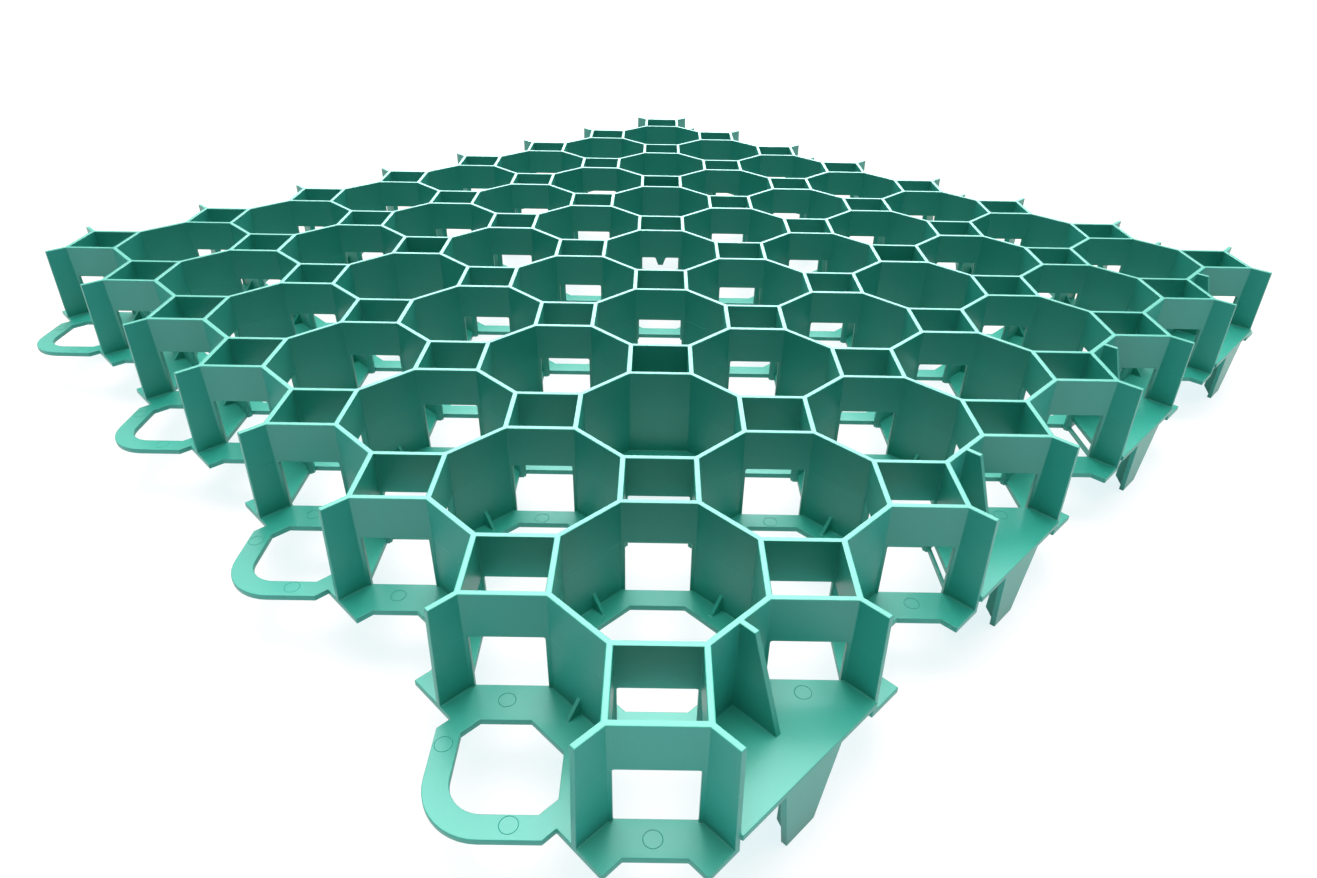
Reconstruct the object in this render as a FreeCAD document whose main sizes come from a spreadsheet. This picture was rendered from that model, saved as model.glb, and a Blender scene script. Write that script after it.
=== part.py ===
import FreeCAD, Part
import os
import Sketcher
from FreeCAD import Placement, Rotation, Vector

# Grass paver grid: one plastic moulding, 500 mm square on its pitch lines. Thin walls stand on a
# pierced base plate and ring 8 x 8 small diamond cells with large octagonal cells between them.
# Two edges carry flat loops. The other two carry raised connector plates with ground spikes,
# which drop through the loops of the next paver. X and Y run along the edges and Z points up.

doc = FreeCAD.newDocument("grass_paver_grid")

# Driving dimensions, in millimetres unless the note says otherwise
SIZES = [
    ("pitch", 62.5, "distance between neighbouring cells of one kind"),
    ("diamonds", 8, "diamond cells along an edge, a count"),
    ("grid_height", 40, "underside of the base plate to the top of the walls"),
    ("plate_thickness", 2.2, "base plate and loops"),
    ("wall_thickness", 2.0, "all cell walls"),
    ("edge_gap", 1.5, "border of the base plate, inside the pitch line"),
    ("stub_setback", 1.3, "ends of the half walls, inside the plate's border"),
    ("ledge_width", 7.9, "floor ledge around an inner octagonal cell"),
    ("edge_ledge_width", 12.2, "floor ledge around a cell on the border"),
    ("corner_ledge_width", 10.0, "floor ledge around a corner cell"),
    ("window_height", 21.3, "windows in the diamond walls, above the plate, which they cut through too"),
    ("closed_cell_place", 1.5, "diamond cells without windows, from the centre lines, in pitches"),
    ("window_margin", 0.65, "wall left at each side of a window"),
    ("tab_height", 4.6, "tab under the lintel of one window near the middle"),
    ("tab_width", 6.2, "tab where it leaves the lintel"),
    ("tab_tip", 2.8, "lower end of the tab"),
    ("gusset_height", 6.2, "small gussets at the foot of the shared walls"),
    ("gusset_reach", 5.1, "gusset's foot, out from the wall"),
    ("gusset_thickness", 1.4, "small gussets"),
    ("loop_reach", 20.4, "nose of a loop, outside the pitch line"),
    ("loop_width", 7.4, "flat band of a loop"),
    ("loop_nose_radius", 17.9, "outer round of a loop's nose"),
    ("loop_half_width", 24.5, "half of a loop's width where it leaves the plate"),
    ("connector_clearance", 3.0, "gap between a connector plate and the loop under it"),
    ("connector_thickness", 2.2, "raised connector plates"),
    ("connector_inset", 0.8, "outer edge of a connector, inside the pitch line"),
    ("fin_top", 5.4, "tall fin's flat top, out from the wall"),
    ("fin_reach", 16.5, "tall fin's foot, out from the wall"),
    ("fin_thickness", 2.0, "tall fins"),
    ("spike_length", 26.7, "ground spike below its connector plate"),
    ("blade_thickness", 2.0, "spike's blade, along the edge"),
    ("blade_root_before", 12.9, "blade at the plate, before the bay's middle"),
    ("blade_root_after", 13.1, "blade at the plate, past the bay's middle"),
    ("blade_tip_before", 8.5, "blade's tip, before the bay's middle"),
    ("blade_tip_after", 4.5, "blade's tip, past the bay's middle"),
    ("barb_place", 6.0, "barb behind the blade, before the bay's middle"),
    ("barb_thickness", 1.6, "barb behind the blade"),
    ("barb_reach", 3.7, "barb's widest point, behind the blade"),
    ("barb_shoulder", 14.5, "barb's widest point, below the connector plate"),
    ("barb_belly", 21.5, "lower end of the barb's straight back, below the connector plate"),
]

# Values worked out from the sizes above
DERIVED = [
    ("half_span", "Sizes.diamonds / 2 * Sizes.pitch"),
    ("border", "half_span - Sizes.edge_gap"),
    ("stub_end", "border - Sizes.stub_setback"),
    ("octagon_corner", "1 / cos(22.5 deg)"),
    ("half_side_share", "tan(22.5 deg)"),
    ("wall_half", "Sizes.wall_thickness / 2"),
    ("cell_apothem", "Sizes.pitch / 2 - wall_half"),
    ("ledge_apothem", "cell_apothem - Sizes.ledge_width"),
    ("edge_hole_apothem", "cell_apothem - Sizes.edge_ledge_width"),
    ("corner_hole_apothem", "cell_apothem - Sizes.corner_ledge_width"),
    ("diamond_side", "Sizes.pitch * (sqrt(2) - 1) - Sizes.wall_thickness"),
    ("diamond_outside", "diamond_side + 2 * Sizes.wall_thickness"),
    ("window_half", "diamond_side / 2 - Sizes.window_margin"),
    ("window_top", "Sizes.plate_thickness + Sizes.window_height"),
    ("tab_level", "window_top - Sizes.tab_height"),
    ("gusset_foot", "wall_half + Sizes.gusset_reach"),
    ("gusset_top_level", "Sizes.plate_thickness + Sizes.gusset_height"),
    ("loop_root", "Sizes.edge_gap + wall_half"),
    ("nose_outer_corner", "Sizes.loop_reach + Sizes.loop_nose_radius * (sqrt(2) - 1)"),
    ("nose_inner_corner", "nose_outer_corner - Sizes.loop_width * sqrt(2)"),
    ("nose_inner_radius", "Sizes.loop_nose_radius - Sizes.loop_width"),
    ("nose_outer_side", "Sizes.loop_nose_radius / sqrt(2)"),
    ("nose_inner_side", "nose_inner_radius / sqrt(2)"),
    ("nose_outer_start", "nose_outer_corner - nose_outer_side"),
    ("nose_inner_start", "nose_inner_corner - nose_inner_side"),
    ("nose_inner_reach", "nose_inner_corner - nose_inner_radius * (sqrt(2) - 1)"),
    ("loop_shoulder", "nose_outer_corner - Sizes.loop_half_width"),
    ("loop_throat", "nose_inner_corner - edge_hole_apothem"),
    ("connector_under", "Sizes.plate_thickness + Sizes.connector_clearance"),
    ("connector_top", "connector_under + Sizes.connector_thickness"),
    ("connector_edge", "half_span - Sizes.connector_inset"),
    ("connector_half", "cell_apothem + wall_half / 4"),
    ("connector_half_side", "connector_half * half_side_share"),
    ("fin_start", "half_span - Sizes.pitch / 2"),
    ("fin_head_out", "fin_start + wall_half + Sizes.fin_top"),
    ("fin_foot_out", "fin_start + wall_half + Sizes.fin_reach"),
    ("spike_root_level", "connector_under + Sizes.connector_thickness / 2"),
    ("spike_tip_level", "connector_under - Sizes.spike_length"),
    ("barb_root", "connector_edge - Sizes.blade_thickness / 2"),
    ("barb_back", "connector_edge - Sizes.blade_thickness - Sizes.barb_reach"),
    ("barb_shoulder_level", "connector_under - Sizes.barb_shoulder"),
    ("barb_belly_level", "connector_under - Sizes.barb_belly"),
    ("centre_shift", "(half_span + Sizes.loop_reach - connector_edge) / 2"),
]

sizes = doc.addObject("Spreadsheet::Sheet", "Sizes")
for row, (alias, value, note) in enumerate(SIZES, start=1):
    sizes.set(f"A{row}", alias)
    sizes.set(f"B{row}", str(value))
    sizes.set(f"C{row}", note)
    sizes.setAlias(f"B{row}", alias)
derived = doc.addObject("Spreadsheet::Sheet", "Derived")
for row, (alias, formula) in enumerate(DERIVED, start=1):
    derived.set(f"A{row}", alias)
    derived.set(f"B{row}", f"={formula}")
    derived.setAlias(f"B{row}", alias)
doc.recompute()

SIZE_NAMES = [alias for alias, value, note in SIZES]
PLATE_LEVEL = "Sizes.plate_thickness"
FIRST_BAY = "Sizes.pitch - Derived.half_span"
EVERY_OTHER_BAY = "Sizes.diamonds / 2"


def new_body(label):
    """An empty body, which may hold solids that don't touch."""
    body = doc.addObject("PartDesign::Body", label)
    body.Label = label
    body.AllowCompound = True
    return body


def origin_feature(body, role):
    """One of a body's own origin planes or axes."""
    return next(feature for feature in body.Origin.OriginFeatures if feature.Role == role)


def turned(angle):
    """Turn about the vertical axis."""
    return Rotation(Vector(0, 0, 1), angle)


def upright(angle):
    """Stand a sketch up, its second axis vertical, then turn it about the vertical axis."""
    return turned(angle) * Rotation(Vector(1, 0, 0), 90)


def attach(body, feature, x, y, z, rotation):
    """Attach to the body's ground plane, moved by three expressions and turned."""
    feature.AttachmentSupport = (origin_feature(body, "XY_Plane"), [""])
    feature.MapMode = "FlatFace"
    feature.AttachmentOffset = Placement(Vector(), rotation)
    for letter, expression in zip("xyz", (x, y, z)):
        feature.setExpression(f"AttachmentOffset.Base.{letter}", expression)


def primitive(body, kind, name, x, y, z, rotation, **expressions):
    """An additive or subtractive primitive, its size bound to expressions."""
    feature = body.newObject(f"PartDesign::{kind}", name)
    if kind.endswith("Prism"):
        feature.Polygon = 8
    attach(body, feature, x, y, z, rotation)
    for size, expression in expressions.items():
        feature.setExpression(size, expression)
    return feature


def octagon(body, kind, name, x, y, z, apothem, height):
    """An upright octagonal prism with its flats across X and Y."""
    radius = f"{apothem} * Derived.octagon_corner"
    return primitive(body, kind, name, x, y, z, turned(22.5), Circumradius=radius, Height=height)


def outline(body, name, place, corners, arcs=None):
    """A closed sketch through corners, each a pair of derived values with an optional minus.

    arcs gives, for the edge after a corner, its radius and where it crosses the first axis.
    """
    sketch = body.newObject("Sketcher::SketchObject", name)
    attach(body, sketch, *place)
    arcs = arcs or {}

    def bound(value):
        sign, name = ("-", value[1:]) if value.startswith("-") else ("", value)
        return sign, sizes if name in SIZE_NAMES else derived, name

    def number(value):
        sign, sheet, name = bound(value)
        return -getattr(sheet, name) if sign else getattr(sheet, name)

    def expression(value):
        sign, sheet, name = bound(value)
        return f"{sign}{sheet.Name}.{name}"

    points = [Vector(number(across), number(up), 0) for across, up in corners]
    following = points[1:] + points[:1]
    for index, (start, end) in enumerate(zip(points, following)):
        if index in arcs:
            middle = Vector(number(arcs[index][1]), 0, 0)
            sketch.addGeometry(Part.Arc(start, middle, end), False)
        else:
            sketch.addGeometry(Part.LineSegment(start, end), False)

    # The sketcher keeps an arc counterclockwise, so its two ends can come out swapped
    def first_end(index):
        near_start = sketch.getPoint(index, 1).distanceToPoint(points[index])
        return 1 if near_start < sketch.getPoint(index, 2).distanceToPoint(points[index]) else 2

    firsts = [first_end(index) for index in range(len(points))]
    for index, first in enumerate(firsts):
        after = (index + 1) % len(points)
        sketch.addConstraint(Sketcher.Constraint("Coincident", index, 3 - first, after, firsts[after]))
    for index, (across, up) in enumerate(corners):
        for kind, value in (("DistanceX", across), ("DistanceY", up)):
            rule = Sketcher.Constraint(kind, -1, 1, index, firsts[index], number(value))
            sketch.setExpression(f"Constraints[{sketch.addConstraint(rule)}]", expression(value))
    for index, (radius, _) in arcs.items():
        rule = Sketcher.Constraint("Radius", index, number(radius))
        sketch.setExpression(f"Constraints[{sketch.addConstraint(rule)}]", expression(radius))
    return sketch


def extrude(body, kind, name, sketch, length, symmetric=False, backwards=False):
    """Pad or pocket a sketch by a length expression."""
    feature = body.newObject(f"PartDesign::{kind}", name)
    feature.Profile = (sketch, [""])
    feature.SideType = "Symmetric" if symmetric else "One side"
    feature.Reversed = backwards
    feature.setExpression("Length", length)
    return feature


def row(body, name, role, spacing, count):
    """Repeat the whole body in a row along an axis."""
    previous = body.Tip
    feature = body.newObject("PartDesign::LinearPattern", name)
    feature.TransformMode = "Whole shape"
    feature.BaseFeature = previous
    feature.Direction = (origin_feature(body, role), [""])
    feature.Mode = "Spacing"
    feature.setExpression("Offset", spacing)
    feature.setExpression("Occurrences", count)
    body.Tip = feature
    return feature


def around(body, name, count, angle, backwards=False):
    """Repeat the whole body around the vertical axis."""
    previous = body.Tip
    feature = body.newObject("PartDesign::PolarPattern", name)
    feature.TransformMode = "Whole shape"
    feature.BaseFeature = previous
    feature.Axis = (origin_feature(body, "Z_Axis"), [""])
    feature.Occurrences = count
    feature.Angle = angle
    feature.Reversed = backwards
    body.Tip = feature
    return feature


# The lattice: one tile, copied at every diamond. A tile is a diamond cell, its four windowed walls,
# a quarter of each octagonal cell around it and half of a gusset on each of its edges.
PITCH, WALL, HEIGHT = sizes.pitch, sizes.wall_thickness, sizes.grid_height
FLOOR = sizes.plate_thickness


def polygon(points, depth):
    """A flat polygon swept along a depth vector."""
    return Part.Face(Part.makePolygon(points + points[:1])).extrude(depth)


def octagonal_prism(x, y, apothem, height):
    """An upright octagonal prism around (x, y), with flats across X and Y."""
    turn = Rotation(Vector(0, 0, 1), 45)
    corner = Vector(apothem, apothem * derived.half_side_share, 0)
    corners = []
    for _ in range(8):
        corners.append(Vector(x, y, 0) + corner)
        corner = turn.multVec(corner)
    return polygon(corners, Vector(0, 0, height))


def diagonal_box(length, width, bottom, top, angle):
    """A box centred on the diamond cell and turned about its vertical axis."""
    box = Part.makeBox(length, width, top - bottom, Vector(-length / 2, -width / 2, bottom))
    return box.rotate(Vector(), Vector(0, 0, 1), angle)


def half_gusset(angle):
    """The near half of the gusset on one edge of the tile, which its neighbour's half completes."""
    edge = PITCH / 2
    profile = [Vector(-derived.gusset_foot, edge, FLOOR), Vector(derived.gusset_foot, edge, FLOOR),
               Vector(derived.wall_half, edge, derived.gusset_top_level),
               Vector(-derived.wall_half, edge, derived.gusset_top_level)]
    return polygon(profile, Vector(0, -sizes.gusset_thickness / 2, 0)).rotate(Vector(), Vector(0, 0, 1), angle)


def lattice_tile():
    """One tile, centred on its diamond cell."""
    block = Part.makeBox(PITCH, PITCH, HEIGHT, Vector(-PITCH / 2, -PITCH / 2, 0))
    voids = [
        diagonal_box(derived.diamond_side, derived.diamond_side, 0, HEIGHT, 45),
        diagonal_box(derived.diamond_outside, 2 * derived.window_half, 0, derived.window_top, 45),
        diagonal_box(2 * derived.window_half, derived.diamond_outside, 0, derived.window_top, 45),
    ]
    for x in (-PITCH / 2, PITCH / 2):
        for y in (-PITCH / 2, PITCH / 2):
            cell = octagonal_prism(x, y, derived.cell_apothem, HEIGHT)
            cell.translate(Vector(0, 0, FLOOR))
            voids += [cell, octagonal_prism(x, y, derived.ledge_apothem, HEIGHT)]
    return block.cut(voids).fuse([half_gusset(angle) for angle in (0, 90, 180, 270)]).removeSplitter()


def all_tiles():
    """The whole lattice, its tiles fused side by side."""
    tile = lattice_tile()
    places = [(column + 0.5) * PITCH - derived.half_span for column in range(int(sizes.diamonds))]
    tiles = [tile.translated(Vector(x, y, 0)) for x in places for y in places]
    return tiles[0].multiFuse(tiles[1:])


def closed_walls():
    """What closes the windows of the four diamond cells one and a half pitches off the centre lines."""
    ring = diagonal_box(derived.diamond_outside, derived.diamond_outside, 0, derived.window_top, 45)
    ring = ring.cut(diagonal_box(derived.diamond_side, derived.diamond_side, 0, derived.window_top, 45))
    offset = sizes.closed_cell_place * PITCH
    return [ring.translated(Vector(x, y, 0)) for x in (-offset, offset) for y in (-offset, offset)]


def window_tab():
    """A small tapered tab, which hangs in one window of the diamond cell nearest the middle."""
    wall = -derived.diamond_outside / 2
    root, tip = sizes.tab_width / 2, sizes.tab_tip / 2
    corners = [Vector(wall, -root, derived.window_top), Vector(wall, root, derived.window_top),
               Vector(wall, tip, derived.tab_level), Vector(wall, -tip, derived.tab_level)]
    tab = polygon(corners, Vector(WALL, 0, 0)).rotate(Vector(), Vector(0, 0, 1), 45)
    return tab.translated(Vector(PITCH / 2, PITCH / 2, 0))


# Wider ledges around the cells on the border
ledges = new_body("border_ledges")
for kind, name, apothem in (
    ("AdditivePrism", "LedgePlate", "Sizes.pitch / 2"),
    ("SubtractivePrism", "LedgeHole", "Derived.edge_hole_apothem"),
):
    octagon(
        ledges, kind, name, "-Derived.half_span", "-Derived.half_span", "0", apothem,
        "Sizes.plate_thickness",
    )
row(ledges, "LeftLedges", "Y_Axis", "Sizes.pitch", "Sizes.diamonds + 1")
row(ledges, "SideLedges", "X_Axis", "2 * Derived.half_span", "2")
around(ledges, "AllLedges", 2, 90)

# The corner cells have wider holes than the rest of the border
corner_holes = new_body("corner_holes")
octagon(
    corner_holes, "AdditivePrism", "CornerHole", "-Derived.half_span", "-Derived.half_span", "0",
    "Derived.corner_hole_apothem", "Sizes.plate_thickness",
)
around(corner_holes, "AllCornerHoles", 4, 270)

# What the border takes off: everything outside a square that narrows a little towards the top
border = new_body("outside_border")
primitive(
    border, "AdditiveBox", "OutsideBlock", "-Derived.half_span - Sizes.pitch",
    "-Derived.half_span - Sizes.pitch", "0", turned(0),
    Length="2 * (Derived.half_span + Sizes.pitch)",
    Width="2 * (Derived.half_span + Sizes.pitch)", Height="Sizes.grid_height",
)
primitive(
    border, "SubtractiveWedge", "InsideBorder", "0", "0", "0", upright(0),
    Xmin="-Derived.border", Xmax="Derived.border", Zmin="-Derived.border", Zmax="Derived.border",
    X2min="-Derived.stub_end", X2max="Derived.stub_end",
    Z2min="-Derived.stub_end", Z2max="Derived.stub_end", Ymin="0", Ymax="Sizes.grid_height",
)

# Room under the connector plates for the next paver's loops
rooms = new_body("loop_rooms")
octagon(
    rooms, "AdditivePrism", "LoopRoom", FIRST_BAY, "-Derived.half_span", "0",
    "Derived.cell_apothem", "Derived.connector_under",
)
row(rooms, "FrontRooms", "X_Axis", "2 * Sizes.pitch", EVERY_OTHER_BAY)
around(rooms, "AllRooms", 2, 90)

# Loops: a flat band around a hole, its nose rounded, in every other bay of two borders
loops = new_body("loops")
band = outline(
    loops, "LoopBand", ("-Derived.half_span", FIRST_BAY, "0", turned(0)),
    [("loop_root", "loop_half_width"), ("-loop_shoulder", "loop_half_width"),
     ("-nose_outer_start", "nose_outer_side"), ("-nose_outer_start", "-nose_outer_side"),
     ("-loop_shoulder", "-loop_half_width"), ("loop_root", "-loop_half_width"),
     ("loop_root", "-edge_hole_apothem"), ("-loop_throat", "-edge_hole_apothem"),
     ("-nose_inner_start", "-nose_inner_side"), ("-nose_inner_start", "nose_inner_side"),
     ("-loop_throat", "edge_hole_apothem"), ("loop_root", "edge_hole_apothem")],
    arcs={2: ("loop_nose_radius", "-loop_reach"), 8: ("nose_inner_radius", "-nose_inner_reach")},
)
extrude(loops, "Pad", "Loop", band, "Sizes.plate_thickness")
row(loops, "LeftLoops", "Y_Axis", "2 * Sizes.pitch", EVERY_OTHER_BAY)
around(loops, "AllLoops", 2, 90, backwards=True)

# Connectors: a raised plate across half a cell, a tall fin on it and a ground spike below
connectors = new_body("connectors")
raised_plate = outline(
    connectors, "RaisedPlateShape",
    (FIRST_BAY, "-Derived.half_span", "Derived.connector_under", turned(0)),
    [("-connector_half", "connector_inset"), ("connector_half", "connector_inset"),
     ("connector_half", "connector_half_side"), ("connector_half_side", "connector_half"),
     ("-connector_half_side", "connector_half"), ("-connector_half", "connector_half_side")],
)
extrude(connectors, "Pad", "RaisedPlate", raised_plate, "Sizes.connector_thickness")
fin = outline(
    connectors, "FinShape", (FIRST_BAY, "0", "0", upright(-90)),
    [("fin_start", "connector_top"), ("fin_foot_out", "connector_top"),
     ("fin_head_out", "grid_height"), ("fin_start", "grid_height")],
)
extrude(connectors, "Pad", "Fin", fin, "Sizes.fin_thickness", symmetric=True)
blade = outline(
    connectors, "BladeShape", (FIRST_BAY, "-Derived.connector_edge", "0", upright(0)),
    [("-blade_root_before", "spike_root_level"), ("-blade_tip_before", "spike_tip_level"),
     ("blade_tip_after", "spike_tip_level"), ("blade_root_after", "spike_root_level")],
)
extrude(connectors, "Pad", "Blade", blade, "Sizes.blade_thickness", backwards=True)
barb = outline(
    connectors, "BarbShape", (f"{FIRST_BAY} - Sizes.barb_place", "0", "0", upright(-90)),
    [("barb_root", "connector_under"), ("barb_back", "barb_shoulder_level"),
     ("barb_back", "barb_belly_level"), ("barb_root", "spike_tip_level")],
)
extrude(connectors, "Pad", "Barb", barb, "Sizes.barb_thickness", symmetric=True)
row(connectors, "FrontConnectors", "X_Axis", "2 * Sizes.pitch", EVERY_OTHER_BAY)
around(connectors, "AllConnectors", 2, 90)


doc.recompute()

# The paver: the lattice with its border ledges, cut off at the border, then the loops and connectors
shape = all_tiles().removeSplitter().fuse([ledges.Shape, window_tab()] + closed_walls())
shape = shape.cut([corner_holes.Shape, border.Shape, rooms.Shape])
shape = shape.fuse([loops.Shape, connectors.Shape]).removeSplitter()
paver = doc.addObject("Part::Feature", "paver_grid")
paver.Label = "paver_grid"
paver.Shape = shape.Solids[0] if len(shape.Solids) == 1 else shape

# The origin is under the middle of the whole outline, level with the tips of the spikes
paver.Placement = Placement(
    Vector(derived.centre_shift, -derived.centre_shift, -derived.spike_tip_level), Rotation(),
)

for thing in doc.Objects:
    if "Invalid" in thing.State or "Error" in thing.State:
        raise RuntimeError(f"{thing.Label} failed: {thing.State}")
if paver.Shape.isNull() or not paver.Shape.isValid() or len(paver.Shape.Solids) != 1:
    raise RuntimeError("The paver isn't one valid solid")
os.makedirs("parts", exist_ok=True)
paver.Shape.exportStep(f"parts/{paver.Label}.step")
print(f"paver_grid: {paver.Shape.Volume / 1000:.1f} cm3, box {paver.Shape.BoundBox}")
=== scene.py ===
# %% [markdown]
# A grass paver grid: one injection moulding of green plastic, octagonal and diamond cells side by side.
# The measured shape comes from the frame. What this lesson adds is what a mould leaves on such a piece:
# rounded edges, rounded window corners, the round marks of the ejector pins, the witness lines
# on the walls, and the satin skin of polyethylene.

# %% Load the measured shape
import math

import bmesh
import bpy
from mathutils import Matrix, Vector


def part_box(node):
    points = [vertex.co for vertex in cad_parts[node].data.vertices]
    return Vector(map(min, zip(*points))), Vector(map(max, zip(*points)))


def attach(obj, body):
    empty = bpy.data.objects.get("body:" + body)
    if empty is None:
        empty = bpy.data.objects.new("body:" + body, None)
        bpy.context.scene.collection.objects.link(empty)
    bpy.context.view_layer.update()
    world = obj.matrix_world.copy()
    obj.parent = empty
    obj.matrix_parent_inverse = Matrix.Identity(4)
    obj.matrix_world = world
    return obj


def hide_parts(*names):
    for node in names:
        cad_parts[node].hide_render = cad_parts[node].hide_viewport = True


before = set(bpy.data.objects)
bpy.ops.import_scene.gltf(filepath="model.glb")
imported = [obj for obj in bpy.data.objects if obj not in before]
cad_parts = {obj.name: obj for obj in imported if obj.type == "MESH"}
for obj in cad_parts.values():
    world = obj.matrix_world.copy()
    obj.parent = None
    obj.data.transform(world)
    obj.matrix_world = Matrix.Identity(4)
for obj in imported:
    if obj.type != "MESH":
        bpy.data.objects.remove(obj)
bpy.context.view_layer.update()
MM = 0.001
grid_low, grid_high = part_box("paver_grid")
print("paver, mm:", [round(side / MM, 1) for side in grid_high - grid_low])

# %% [markdown]
# Every place on the grid follows from its pitch, the distance from one octagonal cell to the next.
# Heights are counted from the tips of the ground spikes, which touch the floor. Faces and vertices could
# be picked by their numbers instead, but those change whenever the measured shape is meshed again.

# %% Places and levels
PITCH = 62.5 * MM
CELLS = 8
GRID_CENTRE = Vector((10.6, -10.6, 0)) * MM
SPIKE_DEPTH = 21.5 * MM
PLATE_TOP = SPIKE_DEPTH + 2.2 * MM
CONNECTOR_TOP = SPIKE_DEPTH + 7.4 * MM
WINDOW_TOP = SPIKE_DEPTH + 23.5 * MM
WALL_TOP = SPIKE_DEPTH + 40.0 * MM
WALL = 2.0 * MM
BORDER = CELLS / 2 * PITCH - 1.5 * MM


def octagon_centre(column, row):
    """Middle of an octagonal cell, counted from the near corner; the border cells are 0 and 8."""
    half = CELLS / 2
    return GRID_CENTRE + Vector(((column - half) * PITCH, (row - half) * PITCH, 0))


print("cells:", CELLS, "by", CELLS, "top of the walls, mm:", round(WALL_TOP / MM, 1))

# %% [markdown]
# Both materials, the plastic and the paper under it, are made of nodes. Two helpers keep that short:
# one turns a colour as a screen shows it into the linear values that the shaders count with, and one
# adds a node together with its settings and links.

# %% Helpers for materials
def linear(hex_colour):
    """An sRGB hex colour as linear RGBA."""
    values = [int(hex_colour[index:index + 2], 16) / 255 for index in (1, 3, 5)]
    return [v / 12.92 if v <= 0.04045 else ((v + 0.055) / 1.055) ** 2.4 for v in values] + [1.0]


def add_node(tree, kind, settings=None, links=None):
    """A node with its settings and with links from other nodes' sockets to its inputs."""
    node = tree.nodes.new(kind)
    for name, value in (settings or {}).items():
        if name in node.inputs:
            node.inputs[name].default_value = value
        else:
            setattr(node, name, value)
    for name, socket in (links or {}).items():
        tree.links.new(socket, node.inputs[name])
    return node


# %% [markdown]
# Polyethylene is a soft, slightly waxy plastic. Moulded against a plain steel face it comes out satin:
# a broad, weak highlight over an even colour. Its refractive index is 1.5 and its roughness about 0.4.
# A very fine grain breaks the highlight up a little, as the spark-eroded steel of the mould does. It is
# drawn at 0.35 mm, coarser than the real one, so that it shows at all.
# The mould's parts meet at the level of the window tops, and leave a faint step there around the walls.
# Cut into the mesh, the step would split every wall in two. As it is thinner than a sheet of paper, bump
# is enough, and one bump carries both, the grain and the step.

# %% Moulded green polyethylene
GREEN = "#238b77"
SATIN_ROUGHNESS = 0.4
POLYETHYLENE_IOR = 1.5
GRAIN = 0.35 * MM
GRAIN_DEPTH = 0.006 * MM
STEP_DEPTH = 0.05 * MM
STEP_HALF = 0.14 * MM


def moulded_polyethylene():
    """Green polyethylene with a satin skin."""
    material = bpy.data.materials.new("moulded_green_polyethylene")
    material.use_nodes = True
    tree = material.node_tree
    shader = tree.nodes["Principled BSDF"]
    shader.inputs["Base Color"].default_value = linear(GREEN)
    shader.inputs["Roughness"].default_value = SATIN_ROUGHNESS
    shader.inputs["IOR"].default_value = POLYETHYLENE_IOR
    place = add_node(tree, "ShaderNodeTexCoord")
    grain = add_node(
        tree, "ShaderNodeTexNoise", {"Scale": 1 / GRAIN, "Detail": 2.0},
        {"Vector": place.outputs["Object"]},
    )
    level = add_node(tree, "ShaderNodeSeparateXYZ", {}, {"Vector": place.outputs["Object"]})
    step = add_node(
        tree, "ShaderNodeMapRange",
        {"interpolation_type": "SMOOTHSTEP", "From Min": WINDOW_TOP - STEP_HALF,
         "From Max": WINDOW_TOP + STEP_HALF, "To Max": STEP_DEPTH / GRAIN_DEPTH},
        {"Value": level.outputs["Z"]},
    )
    relief = add_node(tree, "ShaderNodeMath", {"operation": "ADD"})
    tree.links.new(grain.outputs["Fac"], relief.inputs[0])
    tree.links.new(step.outputs["Result"], relief.inputs[1])
    bump = add_node(
        tree, "ShaderNodeBump", {"Strength": 1.0, "Distance": GRAIN_DEPTH},
        {"Height": relief.outputs["Value"]},
    )
    tree.links.new(bump.outputs["Normal"], shader.inputs["Normal"])
    return material


polyethylene = moulded_polyethylene()
print("material:", polyethylene.name, "nodes:", len(polyethylene.node_tree.nodes))

# %% [markdown]
# A mould has no perfectly sharp edges, so the real grid has none either: each edge carries a small
# radius that catches the light, a larger one runs along the tops of the walls, each window ends in two
# rounded corners, and the ledges end in round tips at the border. One Bevel modifier with an angle limit
# would be quicker, but it knows only one width, and the legs beside the windows are so narrow that wide
# rounds would run into each other there. So each kind of edge is told by its place and direction.

# %% The kinds of edges
RIM_RADIUS = 0.3 * MM
EDGE_RADIUS = 0.25 * MM
WINDOW_CORNER_RADIUS = 0.7 * MM
LEDGE_TIP_RADIUS = 2.2 * MM
SAME_LEVEL = 0.01 * MM
SAME_BORDER = 0.05 * MM
SAME_WALL = 0.2 * MM


def is_window_corner(edge):
    """True for the short level edge where a window's side meets its top."""
    first, second = (vertex.co for vertex in edge.verts)
    level = max(abs(first.z - WINDOW_TOP), abs(second.z - WINDOW_TOP)) < SAME_LEVEL
    across_wall = abs((first - second).length - WALL) < SAME_WALL
    return level and across_wall and edge.is_manifold and not edge.is_convex


def is_ledge_tip(edge):
    """True for an upright corner of the floor plate where two ledges end at the border."""
    first, second = (vertex.co for vertex in edge.verts)
    upright = (first - second).xy.length < SAME_LEVEL
    through_plate = abs(abs(first.z - second.z) - (PLATE_TOP - SPIKE_DEPTH)) < SAME_LEVEL
    out = first - GRID_CENTRE
    at_border = abs(max(abs(out.x), abs(out.y)) - BORDER) < SAME_BORDER
    return upright and through_plate and at_border and edge.is_manifold and edge.is_convex


def is_on_rim(edge):
    """True for an edge along the top of the walls."""
    return min(vertex.co.z for vertex in edge.verts) > WALL_TOP - SAME_LEVEL


radii = (RIM_RADIUS, EDGE_RADIUS, WINDOW_CORNER_RADIUS, LEDGE_TIP_RADIUS)
print("radii, mm:", [round(radius / MM, 2) for radius in radii])

# %% [markdown]
# The mesh is copied from the measured shape, and the triangles of each flat area are joined, because a
# bevel also follows the edges between them. The window corners and the ledge tips are rounded first, in
# the mesh itself. Every other sharp edge gets a bevel weight, its own share of the widest radius.

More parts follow.
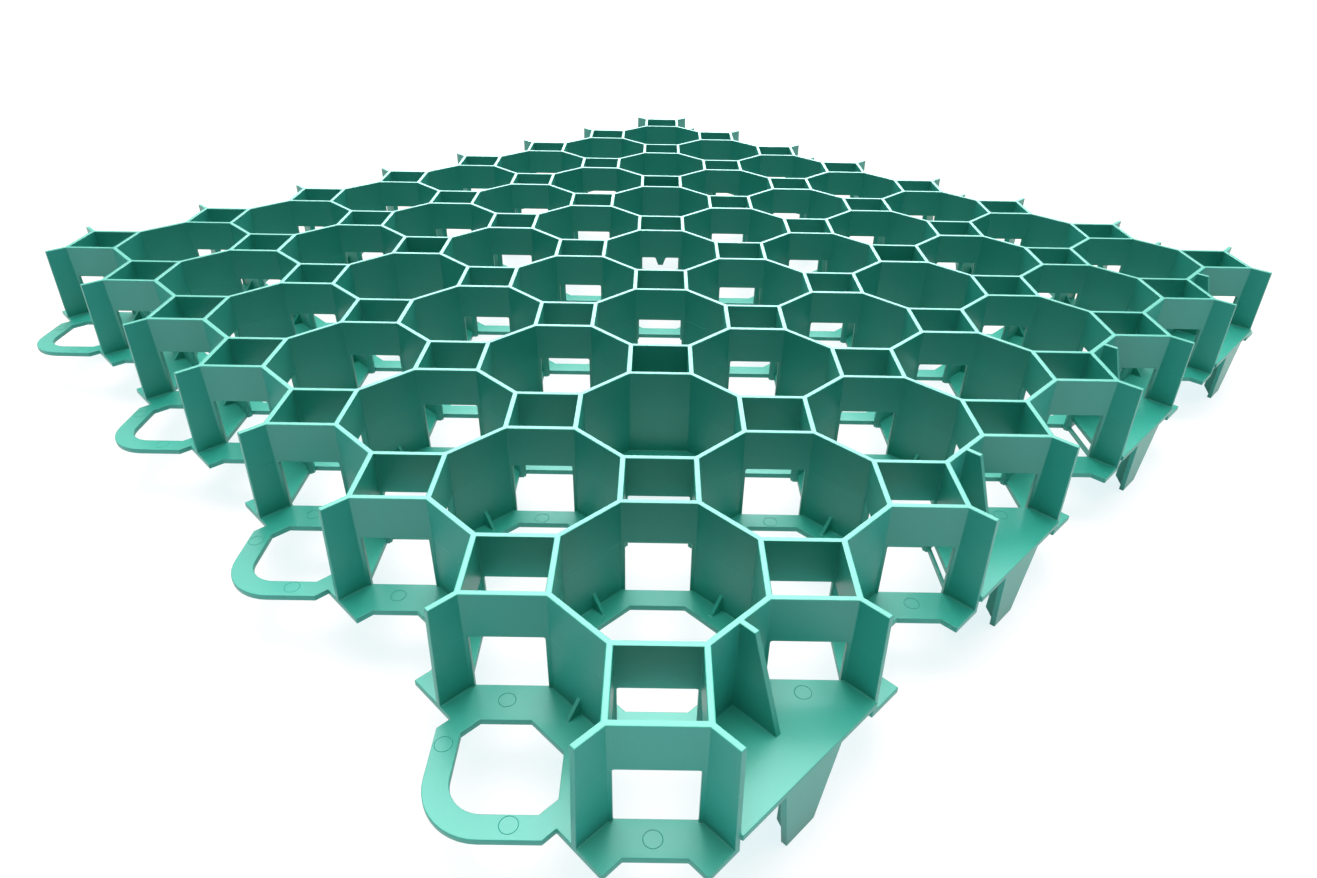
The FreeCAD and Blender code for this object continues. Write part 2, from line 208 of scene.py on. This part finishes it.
# %% The mesh, with weights on its sharp edges
SAME_POINT = 0.001 * MM
SAME_PLANE = math.radians(0.5)
SHARP = math.radians(28)
CORNER_FACES = 3


def round_off(mesh, edges, radius):
    """Give some edges a round of their own, a few faces wide."""
    bmesh.ops.bevel(
        mesh, geom=edges, offset=radius, offset_type="OFFSET", segments=CORNER_FACES, profile=0.5,
        affect="EDGES", clamp_overlap=False,
    )


def weighted_mesh():
    """The measured shape with joined flat areas, rounded corners and a weight on each sharp edge."""
    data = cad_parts["paver_grid"].data.copy()
    mesh = bmesh.new()
    mesh.from_mesh(data)
    bmesh.ops.remove_doubles(mesh, verts=mesh.verts, dist=SAME_POINT)
    bmesh.ops.dissolve_limit(
        mesh, angle_limit=SAME_PLANE, use_dissolve_boundaries=False, verts=mesh.verts, edges=mesh.edges,
        delimit=set(),
    )
    corners = [edge for edge in mesh.edges if is_window_corner(edge)]
    round_off(mesh, corners, WINDOW_CORNER_RADIUS)
    tips = [edge for edge in mesh.edges if is_ledge_tip(edge)]
    round_off(mesh, tips, LEDGE_TIP_RADIUS)
    weight = mesh.edges.layers.float.new("bevel_weight_edge")
    sharp = [edge for edge in mesh.edges if edge.is_manifold and edge.calc_face_angle(0) > SHARP]
    for edge in sharp:
        edge[weight] = 1.0 if is_on_rim(edge) else EDGE_RADIUS / RIM_RADIUS
    print("window corners:", len(corners), "ledge tips:", len(tips), "rounded edges:", len(sharp))
    mesh.to_mesh(data)
    mesh.free()
    data.name = "moulded_grid"
    return data


rounded = weighted_mesh()

# %% [markdown]
# One Bevel modifier now rounds all the weighted edges, each by its share. Smooth shading alone would
# spread each round's curve over the flat faces beside it, as if they were dented. Weighted normals
# keep the flat faces flat, and only the rounds look round.

# %% The moulding
EDGE_FACES = 2


def moulded_grid(data):
    """The whole moulding as one piece."""
    data.materials.clear()
    data.materials.append(polyethylene)
    data.shade_smooth()
    piece = bpy.data.objects.new("moulded_grid", data)
    bpy.context.scene.collection.objects.link(piece)
    rounding = piece.modifiers.new("RoundedEdges", "BEVEL")
    rounding.limit_method = "WEIGHT"
    rounding.width = RIM_RADIUS
    rounding.segments = EDGE_FACES
    rounding.use_clamp_overlap = False
    piece.modifiers.new("FlatFaces", "WEIGHTED_NORMAL").keep_sharp = True
    return piece


grid = moulded_grid(rounded)
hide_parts("paver_grid")
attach(grid, "root")
print("moulding:", grid.name, "faces before rounding:", len(rounded.polygons))

# %% [markdown]
# A moulding is pushed out of its mould by round steel pins, and each pin leaves a ring on the plastic.
# On this grid the rings lie on the flat ledges, the loops and the connector plates. A bump could draw
# them, but it would be gone from the mesh itself. So a ring is a low ridge: three circles of points,
# the middle one raised, with two bands of faces between them. One mesh holds all the rings, because
# they belong to the same piece.

# %% Places of the ejector rings
LEDGE_RING = Vector((17.5, 18.5, 0)) * MM
GUSSET_RING = Vector((-2.2, 26.2, 0)) * MM
LOOP_RINGS = ((6.7 * MM, -15.0 * MM), (5.0 * MM, 18.2 * MM))
CONNECTOR_RING = Vector((-19.0, 18.0, 0)) * MM


def ring_places():
    """Centres of the rings: on a ledge of every cell, on the loops and on the connector plates."""
    places = []
    for column in range(CELLS):
        for row in range(CELLS):
            raised = row == 0 and column % 2 == 1
            beside_gusset = column == row == 1
            ledge = GUSSET_RING if beside_gusset else LEDGE_RING
            level = Vector((0, 0, CONNECTOR_TOP if raised else PLATE_TOP))
            places.append(octagon_centre(column, row) + ledge + level)
    for bay in range(1, CELLS, 2):
        for out, along in LOOP_RINGS:
            left = octagon_centre(0, bay) + Vector((-out, along, PLATE_TOP))
            back = octagon_centre(bay, CELLS) + Vector((along, out, PLATE_TOP))
            places += [left, back]
        level = Vector((0, 0, CONNECTOR_TOP))
        places.append(octagon_centre(CELLS, bay) + CONNECTOR_RING + level)
    return places


places = ring_places()
print("ejector rings:", len(places))

# %% Rings left by the ejector pins
RING_RADIUS = 2.6 * MM
RING_THICKNESS = 0.13 * MM
RING_STEPS = 24


def ejector_rings(places):
    """All rings as one mesh."""
    points, faces = [], []
    for place in places:
        first = len(points)
        for step in range(RING_STEPS):
            turn = math.tau * step / RING_STEPS
            outwards = Vector((math.cos(turn), math.sin(turn), 0))
            points.append(place + outwards * (RING_RADIUS - RING_THICKNESS))
            points.append(place + outwards * RING_RADIUS + Vector((0, 0, RING_THICKNESS)))
            points.append(place + outwards * (RING_RADIUS + RING_THICKNESS))
            for side in (0, 1):
                here, following = 3 * step, 3 * ((step + 1) % RING_STEPS)
                quad = (here + side, here + side + 1, following + side + 1, following + side)
                faces.append([first + corner for corner in quad])
    data = bpy.data.meshes.new("ejector_rings")
    data.from_pydata(points, [], faces)
    data.materials.append(polyethylene)
    piece = bpy.data.objects.new("ejector_rings", data)
    bpy.context.scene.collection.objects.link(piece)
    return piece


rings = ejector_rings(places)
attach(rings, "root")
print("faces of the rings:", len(rings.data.polygons))

# %% [markdown]
# The grid stands on white paper. To the camera and in reflections the paper glows almost white, so that
# it melts into the background. The small rest of its white comes from the lamps, so it still darkens a
# little where the grid keeps them off. For the light that it throws back, it is plain white paper.
# Brighter lamps would also whiten plain paper, but they would bleach the plastic as well.

# %% Paper
PAPER = "#e6f0fd"
PAPER_ROUGHNESS = 0.9
PAPER_GLOW = (0.74, 0.86, 0.89, 1.0)
PAPER_LIT = (0.24, 0.13, 0.1, 1.0)
PAPER_HALF = 20.0


def seen_or_mirrored(tree):
    """A factor that is 1 for what the camera sees, also in a mirror or through glass."""
    ray = add_node(tree, "ShaderNodeLightPath")
    total = ray.outputs["Is Camera Ray"]
    for kind in ("Is Glossy Ray", "Is Transmission Ray"):
        both = add_node(tree, "ShaderNodeMath", {"operation": "MAXIMUM"})
        tree.links.new(total, both.inputs[0])
        tree.links.new(ray.outputs[kind], both.inputs[1])
        total = both.outputs["Value"]
    return total


def white_paper():
    """Paper that nearly glows for the camera and is plain white for the light."""
    material = bpy.data.materials.new("white_paper")
    material.use_nodes = True
    tree = material.node_tree
    plain = tree.nodes["Principled BSDF"]
    plain.inputs["Base Color"].default_value = linear(PAPER)
    plain.inputs["Roughness"].default_value = PAPER_ROUGHNESS
    glow = add_node(tree, "ShaderNodeEmission", {"Color": PAPER_GLOW, "Strength": 1.0})
    lit = add_node(tree, "ShaderNodeBsdfDiffuse", {"Color": PAPER_LIT})
    seen = add_node(tree, "ShaderNodeAddShader")
    tree.links.new(glow.outputs[0], seen.inputs[0])
    tree.links.new(lit.outputs[0], seen.inputs[1])
    mix = add_node(tree, "ShaderNodeMixShader", {}, {"Fac": seen_or_mirrored(tree)})
    tree.links.new(plain.outputs[0], mix.inputs[1])
    tree.links.new(seen.outputs[0], mix.inputs[2])
    tree.links.new(mix.outputs[0], tree.nodes["Material Output"].inputs["Surface"])
    return material


def paper():
    """A sheet of paper, large enough to reach past the picture on all sides."""
    data = bpy.data.meshes.new("paper")
    signs = ((-1, -1), (1, -1), (1, 1), (-1, 1))
    corners = [(across * PAPER_HALF, along * PAPER_HALF, 0) for across, along in signs]
    data.from_pydata(corners, [], [(0, 1, 2, 3)])
    data.materials.append(white_paper())
    sheet = bpy.data.objects.new("paper", data)
    bpy.context.scene.collection.objects.link(sheet)


paper()
print("side of the paper, m:", 2 * PAPER_HALF)

# %% [markdown]
# The room behind the paper is white where the camera or a reflection sees it, and much dimmer as a
# source of light. Its faint bluish light is what the outer walls get, which face away from the lamps.

# %% The room
ROOM = "#e6f2ff"
ROOM_STRENGTH = 0.28


def studio_walls():
    """A pale room: white where the camera sees it, dimmer as a source of light."""
    world = bpy.data.worlds.new("studio")
    bpy.context.scene.world = world
    world.use_nodes = True
    tree = world.node_tree
    room = tree.nodes["Background"]
    room.inputs["Color"].default_value = linear(ROOM)
    room.inputs["Strength"].default_value = ROOM_STRENGTH
    white = add_node(tree, "ShaderNodeBackground", {"Color": (1, 1, 1, 1), "Strength": 1.0})
    mix = add_node(tree, "ShaderNodeMixShader", {}, {"Fac": seen_or_mirrored(tree)})
    tree.links.new(room.outputs[0], mix.inputs[1])
    tree.links.new(white.outputs[0], mix.inputs[2])
    tree.links.new(mix.outputs[0], tree.nodes["World Output"].inputs["Surface"])


studio_walls()
print("room:", ROOM, "strength as a light:", ROOM_STRENGTH)

# %% [markdown]
# The light comes from nearly straight above, like a bright ceiling, and the flat plates come out much
# lighter than the upright walls, as they do on the real grid. A second light stands low behind the grid.
# The plates and the tops of the walls mirror it towards the camera, which gives them their pale satin
# shine. Area lamps would do too, but over so wide a grid they fade towards the far corner. Sun lamps
# with a wide angle have soft shadows as well, and are equally strong everywhere.

# %% Lamps
LAMP_HEIGHT = 1.5


def wide_light(name, tilt, heading, spread, strength, colour):
    """A sun lamp, leaning by a tilt from the vertical towards a heading."""
    data = bpy.data.lights.new(name, "SUN")
    data.angle = math.radians(spread)
    data.energy = strength
    data.color = linear(colour)[:3]
    lamp = bpy.data.objects.new(name, data)
    lean = Matrix.Rotation(math.radians(heading), 4, "Z") @ Matrix.Rotation(math.radians(tilt), 4, "Y")
    lamp.matrix_world = Matrix.Translation((0, 0, LAMP_HEIGHT)) @ lean
    bpy.context.scene.collection.objects.link(lamp)
    print("lamp:", name, "strength:", strength)


wide_light("ceiling", tilt=12, heading=45, spread=54, strength=4.9, colour="#f6fbff")
wide_light("low_back_light", tilt=56, heading=45, spread=48, strength=5.0, colour="#eef7ff")

# %% [markdown]
# The camera is close and low, over the near corner, with a wide lens, which makes the near cells large
# and the far corner small. It could be aimed at a point of the grid with a constraint, but that leaves
# it perfectly level. Three angles turn it instead: its heading, its tilt and a small roll.

# %% Camera
LENS = 23.354
SENSOR = 36.0
CLIP_START = 10 * MM
CAMERA_PLACE = Vector((-314.5, -332.7, 228.8)) * MM
HEADING = math.radians(-45.36)
TILT = math.radians(57.38)
ROLL = math.radians(1.14)

camera_data = bpy.data.cameras.new("camera")
camera_data.lens = LENS
camera_data.sensor_width = SENSOR
camera_data.clip_start = CLIP_START
camera = bpy.data.objects.new("camera", camera_data)
turn = Matrix.Rotation(HEADING, 4, "Z") @ Matrix.Rotation(TILT, 4, "X") @ Matrix.Rotation(ROLL, 4, "Z")
camera.matrix_world = Matrix.Translation(CAMERA_PLACE) @ turn
bpy.context.scene.collection.objects.link(camera)
bpy.context.scene.camera = camera
bpy.context.scene.view_settings.view_transform = "Standard"
print("camera, mm from the origin:", round(CAMERA_PLACE.length / MM))
